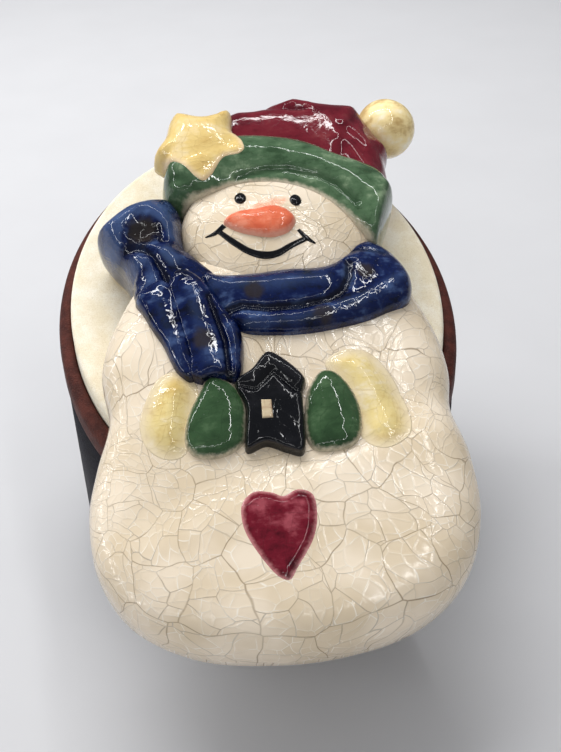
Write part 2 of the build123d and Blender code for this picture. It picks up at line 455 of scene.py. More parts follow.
outlines["heart"] = [
    (-5.9, -52.2), (-8.5, -47.8), (-9.7, -44.1), (-9.3, -40.6), (-7.4, -39.1), (-5, -39.6), (-3.4, -40.5),
    (-1.2, -39.8), (0.7, -40.8), (0.9, -43.6), (-0.2, -47.2), (-3.2, -51.2), (-4.6, -52.8),
]
outlines["birdhouse"] = [
    (-1.8, -17.2), (3.1, -22.6), (2.4, -24.4), (0.6, -34.4), (-1.6, -33.6), (-4.4, -32.2),
    (-7.4, -32.8), (-6.6, -26), (-7.6, -21.6), (-5, -20),
]
window_corners = [(-4.5, -28.5), (-2.9, -28.6), (-2.7, -25.7), (-4.2, -25.5)]
outlines["nose"] = [
    (-5, 7.4), (-4, 8.4), (-2, 8.9), (0.4, 8.8), (3.2, 9), (5.5, 7.8), (6.5, 5.7), (5.2, 3.8), (2.4, 3.1),
    (-0.8, 4), (-3.6, 5.6),
]
mouth_line = [(-5.9, 6), (-3.9, 3.5), (-1.6, 1.3), (0.6, 0.3), (2.6, 0.3), (5, 1.3), (7.6, 2.3)]
mouth_widths = [0.8, 1.05, 1.1, 1.3, 1.15, 1.0, 0.9]
tick_lines = [[(-8.2, 5.7), (-6.6, 5.9), (-4.9, 6.9)], [(6.6, 4), (7.7, 2.4), (9, 1.3)]]
tick_widths = [[0.25, 0.8, 1.0], [0.6, 0.9, 0.3]]
eye_centres = [(-1.6, 11.7), (7.2, 9.8)]
eye_radii = (0.98, 1.2)
scarf_spots = [   # centre and size of each
    ((-18, 8.4), 2.6), ((-2.2, -6.6), 1.7), ((7.8, -12.2), 1.8), ((15.6, -5.2), 1.6), ((-11, -14.4), 2.0),
]
blush_centre = (2.6, 9.6)
head_centre = (4.2, 7.4)
pompom_centre = (27.6, 29.8, 6.4)
pompom_radius = 5.45


def ellipse_loop(centre, radii, turn, spacing):
    angles = np.linspace(0, 2 * math.pi, 200, endpoint=False)
    c, s = math.cos(math.radians(turn)), math.sin(math.radians(turn))
    u, v = radii[0] * np.cos(angles), radii[1] * np.sin(angles)
    return even_loop(np.column_stack([centre[0] + u * c - v * s, centre[1] + u * s + v * c]), spacing)


def star_loop(spacing):
    """Star with blunt tips: each tip is cut by a short arc."""
    corners = []
    for k, tip in enumerate(star_tips):
        tip = np.array(tip)
        before, after = np.array(star_notches[k - 1]), np.array(star_notches[k])
        corners += [before, tip + 0.34 * (before - tip), tip + 0.09 * (before + after - 2 * tip),
                    tip + 0.34 * (after - tip)]
    return smooth_loop(corners, spacing)


def stroke_loop(line, widths, spacing=0.16):
    """Outline of a brush stroke whose width changes along a smooth line."""
    curve = smooth_line(line)
    heading = np.gradient(curve, axis=0)
    heading /= np.hypot(*heading.T)[:, None]
    side = np.column_stack([-heading[:, 1], heading[:, 0]])
    share = np.linspace(0, len(widths) - 1, len(curve))
    half = 0.5 * np.interp(share, range(len(widths)), widths)[:, None]
    return even_loop(np.vstack([curve + side * half, (curve - side * half)[::-1]]), spacing)


# ---- front surfaces
def body_height(p):
    """Chest cushion, a waist under the mittens, and a belly that leans a little to the left."""
    x, y = p.T
    chest = 0.7 * dome(p, (-0.6, -14), (28, 21)) ** 1.2
    rise = np.clip((0.3 * x - 31.5 - y) / 9, 0, 1)
    belly = 1.3 * rise * rise * (3 - 2 * rise) + 0.026 * x * rise
    return 12.4 + chest + belly + 0.08 * ripple(p, 17, 3)


def head_height(p):
    return 9 + 6.2 * dome(p, head_centre, (17.2, 14.8), -6)


def cuff_height(p):
    """A thick roll that runs down into the face along its lower edge."""
    spine = [(-10.6, 18.6), (-6, 20.4), (0, 21), (6, 20), (11.4, 17.6), (16, 14.2), (20, 9.6), (20.8, 4.6)]
    return 14.5 + creases(p, [(1.6, 4.2, spine)]) - 2.4 * bump(p, (-14, 16), (3, 4))


def cuff_detail(p):
    """A groove sets a lower lip off; it fades to the right. Another folds the left end."""
    lip = [(-1.5, 15.9), (1, 16.4), (3.5, 16.5), (7.1, 16.0), (11.9, 14.0), (14.5, 11.9), (17, 8)]
    side = [(-12.8, 18.2), (-10.4, 16.6), (-8.6, 15.2)]
    return creases(p, [(-0.45, 0.6, lip), (-0.4, 0.9, side)]) + 0.05 * ripple(p, 9, 5)


def crown_height(p):
    """Full in the middle, lower towards the pompom and behind the cuff."""
    full = 13.1 + 0.7 * bump(p, (8, 28), (12, 6)) + 0.5 * bump(p, (10.5, 34), (4, 2.5))
    return full - 2.2 * bump(p, (26.5, 30), (5, 8)) - 1.2 * bump(p, (27, 16), (5, 6))


def crown_detail(p):
    """Folds that fan out from the pompom, and a tuck at the top."""
    return creases(p, [
        (-0.35, 1.0, [(21.5, 29), (18.8, 24.6), (17, 20)]),
        (-0.315, 0.9, [(23, 25.5), (23.2, 21), (23.4, 17)]),
        (0.35, 0.9, [(19, 26.8), (21.6, 23.2), (23.8, 19)]),
        (0.28, 1.0, [(17.7, 23.8), (19.6, 20.1), (21.6, 15)]),
        (0.245, 1.1, [(6.5, 33.2), (10, 32.2), (13, 32)]),
        (-0.45, 0.6, [(4.5, 32.4), (7.4, 31.2), (10.4, 30.4), (12.6, 30.4)]),
    ]) + 0.03 * ripple(p, 9, 7)


def star_height(p):
    return 15.6 + 1.2 * bump(p, (-6.4, 25.4), (6.5, 6.5))


def knot_height(p):
    """High at the loop, lower where it runs under the tails and the band."""
    return 12.5 + 1.7 * bump(p, (-16.6, 6), (6.5, 9.5), 20) + 1.0 * bump(p, (-12, -5), (6, 5))


def knot_detail(p):
    """Bunched loop: an arch round a hollow, with rolls below it that turn down into the tails."""
    hollow = 1.7 * bump(p, (-18, 7.8), (2.5, 1.9), 25)
    lobe = 0.3 * bump(p, (-21.2, 3.4), (2.6, 3))
    arch = (0.9, 1.9, [(-23, 7.6), (-22.2, 10.6), (-19.6, 12.8), (-16.6, 12.8), (-14.2, 10)])
    rolls = [
        (0.5, 1.7, [(-18.4, 2), (-18.2, -1), (-17.6, -3.4)]),
        (0.7, 1.1, [(-13.4, 8.6), (-13.6, 5.6)]),
        (0.6, 1.5, [(-14.8, 3), (-13.8, 1.6)]),
    ]
    folds = [
        (-0.8, 0.7, [(-21, 5.6), (-18.6, 4.6), (-16.8, 2.8), (-15.6, -0.4), (-14.8, -4)]),
        (-0.4, 0.8, [(-21.6, -1.8), (-19.4, -1), (-18.6, 1)]),
        (-0.5, 0.6, [(-15.8, 8.6), (-15.2, 5.6), (-12.4, 4.6)]),
    ]
    return creases(p, [arch, *rolls, *folds]) - hollow + lobe


def tail_detail_left(p):
    return creases(p, [(0.25, 1.3, [(-17.2, -6), (-16.4, -11), (-15.2, -16.5)])])


def tail_detail_right(p):
    """Flat scarf end with a narrow turned edge at its right."""
    fold = (-0.8, 0.5, [(-9.4, -6.6), (-8.6, -11), (-8, -15), (-8.2, -21)])
    roll = (0.3, 1.6, [(-12, -5), (-11.4, -12), (-11, -18)])
    turned = (0.25, 0.8, [(-6.8, -12.6), (-6.6, -16), (-6.8, -19.4)])
    return creases(p, [fold, roll, turned])


def band_height(p):
    """The band sinks towards its right end."""
    return 15.1 - 1.8 * bump(p, (22, 1), (6, 5))


def band_detail(p):
    """Two rolls with a groove between them, and a small roll at the upper right."""
    groove = [(-7.2, -9.4), (-4.5, -8.9), (-0.6, -9.9), (4.3, -10.1), (9.1, -9.6), (11.6, -8.2), (13, -5.8),
              (13.6, -3)]
    lower = [(-4, -12), (4, -12.4), (14, -10.6), (21, -7)]
    upper = [(-8, -4.4), (0, -5.6), (9, -5.8)]
    tuck = [(13.6, -0.6), (16, -0.4), (20, -1.6)]
    folds = creases(p, [(0.35, 2.0, upper), (0.35, 1.4, lower), (-0.85, 0.75, groove), (-0.4, 0.6, tuck)])
    return folds + 0.05 * ripple(p, 8, 9)


def house_detail(p):
    """Roof boards slope to both sides of a ridge; the front wall is set back under them."""
    eaves = [(-8, -22.4), (-4.6, -23.4), (-1.6, -20.8), (1.2, -24.4), (3.2, -24.6)]
    roof = [(-5.4, -21.2), (-1.8, -18.8), (2, -22.6)]
    return creases(p, [(0.5, 1.3, roof), (-0.45, 0.45, eaves)]) + 0.06 * ripple(p, 4, 11)


# ---- the pieces
def make_reliefs():
    """Every flat-backed piece of the figure, lowest first."""
    made = {}

    def add(name, loop, height, edge, floor, under=(), **more):
        """The loop may be given as the spacing of a smooth one through the piece's corner points."""
        if name in outlines:
            loop = smooth_loop(outlines[name], loop)
        made[name] = Relief(name, loop, height, edge, floor, [made[u] for u in under], **more)

    def luted(name, loop, rise, edge, under, **more):
        """A low piece whose height is above the piece that it lies on."""
        add(name, loop, rise, edge, LUTED_FLOOR, [under], rise=True, **more)

    add("body", 0.6, body_height, 8.5, 5.5, power=2.9, back=2.0, spacing=0.6)
    add("head", ellipse_loop(head_centre, (16.6, 14.2), -6, 0.6), head_height, 2.0, 5.5, back=1.2,
        back_level=0.12, spacing=0.5)
    add("hat_crown", 0.4, crown_height, 3.6, 6, detail=crown_detail, back=1.6, back_level=0.3, spacing=0.42)
    add("hat_cuff", 0.35, cuff_height, 2.2, 6, ["head", "hat_crown"], detail=cuff_detail, back=1.5,
        back_level=0.24, spacing=0.38)
    add("star", star_loop(0.3), star_height, 3.4, 11, ["hat_crown", "hat_cuff"], spacing=0.35)
    add("scarf_knot", 0.35, knot_height, 3.8, 6, ["body"], detail=knot_detail, back=1.6, back_level=0.16,
        spacing=0.36)
    add("scarf_tail_left", 0.3, 14.9, 1.9, LUTED_FLOOR, ["body", "scarf_knot"], detail=tail_detail_left,
        spacing=0.35)
    add("scarf_tail_right", 0.3, 15.4, 1.6, LUTED_FLOOR, ["body", "scarf_knot", "scarf_tail_left"],
        detail=tail_detail_right, spacing=0.35)
    add("scarf_band", 0.35, band_height, 3.0, 6, ["body", "head", "scarf_knot"], detail=band_detail,
        back=1.6, back_level=0.2, spacing=0.38)
    luted("birdhouse", 0.25, 2.0, 0.9, "body", detail=house_detail, spacing=0.3)
    for side in ("left", "right"):
        luted("mitten_" + side, 0.3, 1.9, 3.6, "body", spacing=0.35)
    for side in ("left", "right"):
        luted("sleeve_" + side, 0.35, 1.3, 4.0, "body", soft=True, spacing=0.4)
    luted("heart", 0.25, 0.45, 1.2, "body", soft=True, spacing=0.3)
    luted("nose", 0.2, 1.4, 2.4, "head", spacing=0.25)
    luted("birdhouse_window", even_loop(np.array(window_corners), 0.15), 0.2, 0.3, "birdhouse", spacing=0.2)
    return made


def slip(name, loop, height, edge, head):
    """A thin drop or stroke of slip on the face."""
    drop = Relief(name, loop, height, edge, LUTED_FLOOR, [head], rise=True, spacing=0.18, sink=0.5)
    return drop.build()


def build_slips(head):
    """Eyes and mouth in black slip."""
    eyes = [slip(f"eye_{k}", ellipse_loop(centre, eye_radii, 0, 0.15), 0.45, 0.9, head)
            for k, centre in enumerate(eye_centres)]
    lines = [mouth_line, *tick_lines]
    widths = [mouth_widths, *tick_widths]
    strokes = [slip(f"stroke_{k}", stroke_loop(line, width), 0.2, 0.35, head)
               for k, (line, width) in enumerate(zip(lines, widths))]
    return merge("eyes", eyes), merge("mouth", strokes)


def ring_faces(pairs, count):
    """Quads between rings of count points each, for the pairs of rings to join."""
    faces = []
    for i, j in pairs:
        for k in range(count):
            m = (k + 1) % count
            faces.append((i * count + k, i * count + m, j * count + m, j * count + k))
    return faces


def build_pompom():
    """A slightly lumpy ball."""
    rings, count = 47, 72
    polar = math.pi * np.arange(1, rings + 1)[:, None] / (rings + 1)
    turn = 2 * math.pi * np.arange(count) / count
    grid = np.stack([np.sin(polar) * np.cos(turn), np.sin(polar) * np.sin(turn), np.cos(polar) + 0 * turn], 2)
    flat = np.vstack([grid.reshape(-1, 3), [(0, 0, 1), (0, 0, -1)]])
    lumps = sum(np.sin(flat @ np.array(way) * 3.1 + phase) for way, phase in
                [((1, 0.4, 0.2), 0.3), ((-0.3, 1, 0.5), 1.7), ((0.5, -0.6, 1), 2.9)])
    flat = flat * (pompom_radius * (0.98 + 0.006 * lumps))[:, None] + np.array(pompom_centre)
    faces = ring_faces([(i + 1, i) for i in range(rings - 1)], count)
    north, south = rings * count, rings * count + 1
    last = (rings - 1) * count
    for k in range(count):
        m = (k + 1) % count
        faces += [(north, k, m), (south, last + m, last + k)]
    none = np.zeros(len(flat))
    values = {"contact": none + FAR, "cover": none + 1, "spot": none}
    return make_mesh("pompom", to_row(flat), faces, flat, values)


# ---- the stand
STAND_RADIUS = 34.0
RIM_WIDTH = 2.4
RIM_DEPTH = 4.0
RIM_ROLL = 1.6  # radius of the rolled outer edge
WRAP_INSET = 0.3  # the rim stands this far proud of the wall
WRAP_THICKNESS = 1.0
FOOT_THICKNESS = 1.0
PAD_GAP = 0.03  # between the pad's skirt and the rim
PAD_ROLL = 0.9  # radius of the pad's turned edge


def slanted_ring(name, profile, capped=False, count=240):
    """A closed band turned from (radius, level) points; level is above the slanted rim plane.

    The profile runs up the outside and inwards over the top. A capped one is closed flat at both ends.
    """
    angles = np.linspace(0, 2 * math.pi, count, endpoint=False)
    points = []
    for radius, level in profile:
        x, y = radius * np.cos(angles), radius * np.sin(angles)
        if level is None:
            z = np.full(count, FOOT_THICKNESS)
        else:
            z = RIM_HEIGHT + y * math.tan(SLOPE) + level / math.cos(SLOPE)
        points.append(np.column_stack([x, y, z]))
    rows = len(profile)
    faces = ring_faces([(i, (i + 1) % rows) for i in range(rows - 1 if capped else rows)], count)
    if capped:
        faces.append(tuple(reversed(range(count))))
        faces.append(tuple(range((rows - 1) * count, rows * count)))
    points = np.vstack(points)
    return make_mesh(name, points * MM, faces, points, {})


def arc(centre, radius):
    """(radius, level) points along a quarter turn from outwards to upwards."""
    turns = np.radians(np.linspace(0, 90, 8))
    return [(centre[0] + radius * math.cos(t), centre[1] + radius * math.sin(t)) for t in turns]


def build_rim():
    inner = STAND_RADIUS - RIM_WIDTH + 0.02
    outside = [(STAND_RADIUS, -RIM_DEPTH + 0.3), (STAND_RADIUS, -3.2), (STAND_RADIUS, -2.4)]
    roll = arc((STAND_RADIUS - RIM_ROLL, -RIM_ROLL), RIM_ROLL)
    inside_edge = [(inner + 0.33, -0.03), (inner, -0.4), (inner, -1.5), (inner, -RIM_DEPTH)]
    hem = [(STAND_RADIUS - 0.3, -RIM_DEPTH)]
    return slanted_ring("stand_rim_leather", outside + roll + inside_edge + hem)


def build_wrap():
    outer = STAND_RADIUS - WRAP_INSET
    inner = outer - WRAP_THICKNESS
    wall = [(outer, None), (outer, -20), (outer, -RIM_DEPTH), (inner, -RIM_DEPTH), (inner, None)]
    return slanted_ring("stand_wall_leather", wall)


def build_suede():
    """Cover of the pad: a shallow crown with a soft turned edge and a skirt let into the rim."""
    edge = STAND_RADIUS - RIM_WIDTH - PAD_GAP
    top = PAD_PROUD
    under = [(6, 1.75), (edge - 1.5, 1.75), (edge - 0.75, 1.7), (edge - 0.7, -0.9), (edge, -0.9), (edge, 0.2)]
    turn = arc((edge - PAD_ROLL, top - PAD_ROLL - 0.05), PAD_ROLL)
    crown = [(29.4, top - 0.05), (27, top - 0.02), (23, top), (18, top), (12, top), (6, top)]
    return slanted_ring("stand_pad_suede", under + turn + crown, capped=True)


# ---- node helpers
def colour(red, green, blue):
    """A display colour, 0 to 255, as the linear colour that a shader takes."""
    def linear(value):
        share = value / 255
        return share / 12.92 if share <= 0.04045 else ((share + 0.055) / 1.055) ** 2.4
    return (linear(red), linear(green), linear(blue), 1.0)


class Tree:
    """Short calls that add nodes to one tree."""

    def __init__(self, tree):
        self.tree = tree

    def node(self, kind, inputs=None, **settings):
        """A shader node with its settings, and a source or a value for each input named."""
        made = self.tree.nodes.new("ShaderNode" + kind)
        for key, value in settings.items():
            setattr(made, key, value)
        for socket, source in (inputs or {}).items():
            self.link(source, made.inputs[socket])
        return made

    def link(self, source, target):
        if isinstance(source, bpy.types.NodeSocket):
            self.tree.links.new(source, target)
        else:
            target.default_value = source

    def math(self, operation, first, second):
        return self.node("Math", {0: first, 1: second}, operation=operation).outputs[0]

    def add(self, first, second):
        return self.math("ADD", first, second)

    def times(self, first, second):
        return self.math("MULTIPLY", first, second)

    def vector(self, operation, first, second):
        made = self.node("VectorMath", {0: first, 1: second}, operation=operation)
        return made.outputs["Value" if operation == "DOT_PRODUCT" else "Vector"]

    def scaled(self, vector, factor):
        made = self.node("VectorMath", {0: vector, "Scale": factor}, operation="SCALE")
        return made.outputs["Vector"]

    def stretched(self, vector, scale, turn=0):
        rotation = (0, 0, math.radians(turn))
        made = self.node("Mapping", {"Vector": vector, "Scale": scale, "Rotation": rotation})
        return made.outputs["Vector"]

    def noise(self, vector, scale, detail=2.0, roughness=0.5, output="Fac"):
        inputs = {"Vector": vector, "Scale": scale, "Detail": detail, "Roughness": roughness}
        return self.node("TexNoise", inputs).outputs[output]

    def voronoi(self, vector, scale, feature="F1", randomness=1.0, dimensions="3D"):
        inputs = {"Vector": vector, "Scale": scale, "Randomness": randomness}
        settings = {"feature": feature, "voronoi_dimensions": dimensions}
        return self.node("TexVoronoi", inputs, **settings).outputs

    def ramp(self, value, low, high, to_low=0.0, to_high=1.0):
        """Smooth step from to_low at low to to_high at high."""
        inputs = {"Value": value, "From Min": low, "From Max": high, "To Min": to_low, "To Max": to_high}
        return self.node("MapRange", inputs, interpolation_type="SMOOTHSTEP").outputs["Result"]

    def mix(self, factor, first, second):
        """Mixes two colours, given as sockets or as display colours. The numbers are the node's sockets."""
        first, second = [c if isinstance(c, bpy.types.NodeSocket) else colour(*c) for c in (first, second)]
        return self.node("Mix", {0: factor, 6: first, 7: second}, data_type="RGBA").outputs[2]

    def ragged(self, value, place, scale, reach, roughness=0.5):
        """A value whose edges a noise makes uneven."""
        return self.add(value, self.times(self.noise(place, scale, 3.0, roughness), reach))

    def attribute(self, name, output="Fac"):
        return self.node("Attribute", attribute_name=name).outputs[output]


class Material(Tree):
    """A new material with one Principled shader; uniform values go on its own sockets."""

    def __init__(self, name, **uniform):
        self.material = bpy.data.materials.new(name)
        self.material.use_nodes = True
        super().__init__(self.material.node_tree)
        self.shader = self.tree.nodes["Principled BSDF"]
        for socket, value in uniform.items():
            self.shader.inputs[socket.replace("_", " ")].default_value = value

    def finished(self, shade, height=None):
        """The material with this colour, and with bump from a height in millimetres."""
        self.link(shade, self.shader.inputs["Base Color"])
        if height is not None:
            made = self.node("Bump", {"Distance": MM, "Strength": 1.0, "Height": height})
            self.link(made.outputs[0], self.shader.inputs["Normal"])
            self.link(made.outputs[0], self.shader.inputs["Coat Normal"])
        return self.material


GLAZE = {"Roughness": 0.5, "IOR": 1.5, "Specular_IOR_Level": 0.0, "Coat_Weight": 1.0,
         "Coat_Roughness": 0.03, "Coat_IOR": 1.5}


# ---- crackle
def crackle_group():
    """Crackled glaze: long primary cracks, shorter ones between them, and a fine net of facets."""
    group = bpy.data.node_groups.new("crackle", "ShaderNodeTree")
    face = group.interface
    face.new_socket("Place", in_out="INPUT", socket_type="NodeSocketVector")
    for name in ("Cracks", "Fine", "Facet", "Height"):
        face.new_socket(name, in_out="OUTPUT", socket_type="NodeSocketFloat")
    t = Tree(group)
    place = group.nodes.new("NodeGroupInput").outputs["Place"]
    end = group.nodes.new("NodeGroupOutput")

    def centred(source):
        return t.vector("SUBTRACT", source, (0.5, 0.5, 0.5))

    def net(where, size, randomness):
        """Distance to the nearest crack of a net of cells, in millimetres, and the cells."""
        lines = t.voronoi(where, 1 / size, "DISTANCE_TO_EDGE", randomness, "2D")
        return t.times(lines["Distance"], size), t.voronoi(where, 1 / size, "F1", randomness, "2D")

    def apart(where, cells, reach):
        """Shifts each cell of a net to its own stretch of the next net."""
        return t.vector("ADD", where, t.scaled(centred(cells["Color"]), reach))

    slow = centred(t.noise(place, 0.06, 1.0, output="Color"))
    quick = centred(t.noise(place, 0.2, 1.0, output="Color"))
    bent = t.vector("ADD", place, t.vector("ADD", t.scaled(slow, 11.0), t.scaled(quick, 2.0)))
    long_edge, long_cells = net(bent, 8.2, 0.72)
    within = apart(bent, long_cells, 60.0)
    short_edge, short_cells = net(within, 4.4, 0.8)
    nearer = apart(within, short_cells, 40.0)
    fine_edge, fine_cells = net(nearer, 1.9, 0.9)

    fade = t.ramp(t.noise(place, 0.15, 2.0), 0.34, 0.58, 0.35, 1.0)
    grey = t.ramp(t.noise(place, 0.11, 2.0), 0.35, 0.65, 0.45, 1.0)
    long_line = t.times(t.ramp(long_edge, 0.02, 0.13, 1.0, 0.0), grey)
    short_line = t.times(t.ramp(short_edge, 0.01, 0.11, 0.8, 0.0), fade)
    t.link(t.math("MAXIMUM", long_line, short_line), end.inputs["Cracks"])
    nearest = t.math("MINIMUM", fine_edge, short_edge)
    t.link(t.ramp(nearest, 0.0, 0.1, 1.0, 0.0), end.inputs["Fine"])

    split = t.node("SeparateColor", {0: fine_cells["Color"]})
    t.link(split.outputs[1], end.inputs["Facet"])
    off = t.vector("SUBTRACT", nearer, fine_cells["Position"])
    facets = t.times(t.vector("DOT_PRODUCT", centred(fine_cells["Color"]), off), 0.026)
    lips = t.times(t.ramp(nearest, 0.0, 0.35, 1.0, 0.0), 0.02)
    t.link(t.add(facets, lips), end.inputs["Height"])


def crackle(t):
    """The crackle group in a tree, fed with the place on the figure."""
    inputs = {"Place": t.attribute("crackle_place", "Vector")}
    return t.node("Group", inputs, node_tree=bpy.data.node_groups["crackle"]).outputs


# ---- glazes
BARE_CLAY = (222, 208, 184)
BROWN_SPOT = (46, 40, 36)


def hand_waves(t, place):
    """Height of the slow waves that hands leave in clay."""
    return t.times(t.noise(place, 0.3, 2.0), 0.05)


def cream_surface(t, place, cracks):
    """Colour of the bare cream glaze with its crackle, a few specks and the blush, with painted glints and
    shade on its facets and a painted highlight along the fine cracks.
    """
    cloud = t.noise(place, 0.09, 3.0)
    base = t.mix(t.ramp(cloud, 0.35, 0.65), (211, 194, 167), (228, 213, 191))
    # Painted glint and shade: lighter and darker facets stand in for facets tilted towards and away from the
    # light.
    base = t.mix(t.ramp(cracks["Facet"], 0.5, 0.95, 0.0, 0.1), base, (240, 232, 218))
    base = t.mix(t.ramp(cracks["Facet"], 0.05, 0.4, 0.08, 0.0), base, (192, 172, 142))
    # Painted highlight: a pale line along the fine cracks where light glints in them.
    pale = t.ramp(t.noise(place, 0.4, 2.0), 0.38, 0.62, 0.15, 0.7)
    base = t.mix(t.times(cracks["Fine"], pale), base, (246, 241, 230))
    base = t.mix(t.times(cracks["Cracks"], 0.72), base, (130, 110, 82))
    blush = t.ragged(t.attribute("spot"), place, 0.9, 0.8)
    base = t.mix(t.ramp(blush, 0.85, 1.3, 0.0, 0.6), base, (230, 150, 116))
    specks = t.voronoi(place, 0.055)["Distance"]
    return t.mix(t.ramp(specks, 0.008, 0.015, 0.9, 0.0), base, (60, 48, 40))


def cream_glaze():
    t = Material("cream_clay_glaze", **{**GLAZE, "Coat_Roughness": 0.13})
    place = t.attribute("place", "Vector")
    cracks = crackle(t)
    return t.finished(cream_surface(t, place, cracks), t.add(cracks["Height"], hand_waves(t, place)))


def painted_glaze(name, base, dark, light, bare=0.0, brush_turn=0.0, crack_share=0.25, mottle=0.9,
                  under=(224, 209, 186), coat=0.04, crack_height=0.5):
    """Brushed colour over the cream, thin where it meets the clay below; grooves darker and ridges lighter,
    from pooled and thinned glaze and from painted shade and highlight.
    """
    t = Material(name, **{**GLAZE, "Coat_Roughness": coat})
    place = t.attribute("place", "Vector")
    cracks = crackle(t)
    relief = t.attribute("relief")
    streaks = t.noise(t.stretched(place, (0.4, 1.1, 1.0), brush_turn), 0.8, 4.0, 0.6)
    cloud = t.noise(place, 0.26, 4.0, 0.6)
    blotch = t.add(t.times(streaks, 0.3), t.times(cloud, 0.7))
    shade = t.mix(t.ramp(blotch, 0.36, 0.52, mottle, 0.0), base, dark)
    shade = t.mix(t.ramp(blotch, 0.51, 0.68, 0.0, mottle), shade, light)
    # Grooves darker and ridges lighter: partly pooled and thinned glaze, partly painted shade in the grooves
    # and painted highlight on the ridges.
    shade = t.mix(t.ramp(relief, -0.05, -0.55, 0.0, 0.8), shade, dark)
    shade = t.mix(t.ramp(relief, 0.1, 0.6, 0.0, 0.6), shade, light)
    shade = t.mix(t.times(cracks["Cracks"], crack_share), shade, dark)
    spot = t.ragged(t.attribute("spot"), place, 0.8, 0.8)
    shade = t.mix(t.ramp(spot, 0.6, 1.15, 0.0, 0.8), shade, BROWN_SPOT)
    if bare:
        contact = t.ragged(t.attribute("contact"), place, 1.3, 0.9, roughness=0.6)
        shade = t.mix(t.ramp(contact, 0.3, 0.8 + bare, 0.75, 0.0), shade, under)
    covered = t.ragged(t.attribute("cover"), place, 1.5, 0.5)
    shade = t.mix(t.ramp(covered, 0.3, 0.8), BARE_CLAY, shade)
    brushed = t.add(hand_waves(t, place), t.times(streaks, 0.008))
    return t.finished(shade, t.add(brushed, t.times(cracks["Height"], crack_height)))


# ---- leather, suede and card
def leatherette(name, base, dark, light, roughness):
    t = Material(name, Roughness=roughness, IOR=1.5, Specular_IOR_Level=0.3)
    place = t.attribute("place", "Vector")
    grain = t.voronoi(place, 2.2, "DISTANCE_TO_EDGE")["Distance"]
    cloud = t.noise(place, 0.5, 4.0, 0.6)
    shade = t.mix(t.ramp(cloud, 0.35, 0.65), dark, base)
    shade = t.mix(t.ramp(grain, 0.15, 0.5, 0.0, 0.35), shade, light)
    pores = t.times(t.noise(place, 6.0, 2.0), 0.02)
    return t.finished(shade, t.add(t.ramp(grain, 0.0, 0.35, 0.0, 0.05), pores))


def suede():
    t = Material("pad_suede", Roughness=0.92, IOR=1.45, Sheen_Weight=0.25, Sheen_Roughness=0.5)
    place = t.attribute("place", "Vector")
    nap = t.noise(place, 5.0, 4.0, 0.7)
    cloud = t.noise(place, 0.25, 4.0, 0.6)
    shade = t.mix(t.ramp(cloud, 0.35, 0.65), (242, 230, 202), (253, 246, 228))
    shade = t.mix(t.ramp(nap, 0.42, 0.7, 0.0, 0.5), shade, (216, 198, 160))
    specks = t.voronoi(place, 0.8)["Distance"]
    shade = t.mix(t.ramp(specks, 0.0, 0.16, 0.35, 0.0), shade, (168, 148, 112))
    return t.finished(shade, t.times(nap, 0.16))


def plain_grain(name, base, dark, scale, roughness, stretch=(1, 1, 1), height=0.05):
    """Card, wood or felt of a node whose shape the frame already gives."""
    t = Material(name, Roughness=roughness, IOR=1.45)
    place = t.node("TexCoord").outputs["Object"]
    millimetres = t.stretched(place, tuple(1000 * s for s in stretch))
    grain = t.noise(millimetres, scale, 5.0, 0.65)
    return t.finished(t.mix(t.ramp(grain, 0.35, 0.65), dark, base), t.times(grain, height))


# ---- building
crackle_group()
scarf = ("scarf_knot", "scarf_tail_left", "scarf_tail_right", "scarf_band")
finishes = [  # material, slot, and the nodes that they are for
    (cream_glaze(), "cream_clay_glaze", ("body", "head")),
    (painted_glaze("green_glaze", (50, 76, 48), (32, 54, 32), (82, 108, 76), bare=0.3, brush_turn=-20,
                   crack_share=0.2, mottle=0.7), "green_glaze", ("mitten_left", "mitten_right")),
    (painted_glaze("cuff_glaze", (74, 100, 72), (44, 68, 44), (126, 146, 116), bare=0.5, brush_turn=-20,
                   crack_share=0.2, crack_height=0.25), "green_glaze", ("hat_cuff",)),
    (painted_glaze("burgundy_glaze", (106, 27, 39), (66, 9, 22), (132, 60, 62), brush_turn=-12,
                   crack_share=0.12, mottle=0.6, coat=0.06, crack_height=0.12),
     "burgundy_glaze", ("hat_crown",)),
    (painted_glaze("navy_glaze", (6, 21, 64), (1, 2, 14), (66, 86, 126), brush_turn=-8, crack_share=0.1),
     "navy_glaze", scarf),
    (painted_glaze("straw_glaze", (222, 194, 126), (202, 168, 100), (234, 214, 170), bare=0.9,
                   mottle=0.7, under=(232, 208, 176)), "straw_glaze", ("star",)),
    (painted_glaze("pompom_glaze", (242, 220, 162), (190, 156, 98), (250, 240, 212), crack_share=0.3),
     "straw_glaze", ("pompom",)),
    (painted_glaze("ochre_wash_glaze", (216, 196, 136), (196, 168, 102), (226, 212, 180), bare=2.4,
                   brush_turn=60, crack_share=0.4, under=(220, 205, 180)),
     "ochre_wash_glaze", ("sleeve_left", "sleeve_right")),
    (painted_glaze("orange_glaze", (216, 108, 76), (196, 82, 56), (232, 156, 128), bare=0.5,
                   crack_share=0.1, mottle=0.7, under=(234, 180, 158)), "orange_glaze", ("nose",)),
    (painted_glaze("black_glaze", (10, 11, 15), (4, 5, 8), (30, 30, 34), brush_turn=30, crack_share=0.0,
                   mottle=0.5, coat=0.08), "black_glaze", ("birdhouse", "eyes", "mouth")),
    (painted_glaze("window_glaze", (196, 178, 146), (140, 70, 60), (214, 200, 172)),
     "window_glaze", ("birdhouse_window",)),
    (painted_glaze("heart_glaze", (102, 18, 34), (52, 2, 12), (156, 74, 84), bare=0.4, brush_turn=70,
                   crack_share=0.1, under=(206, 142, 142)), "burgundy_glaze", ("heart",)),
]


def paint(obj, material):
    obj.data.materials.clear()
    obj.data.materials.append(material)


def settle(obj, node, body, material, slot):
    """Gives a piece its material and its body, and hides the CAD part of the node that it stands for. The
    slot is not used.
    """
    paint(obj, material)
    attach(obj, body)
    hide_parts(node)


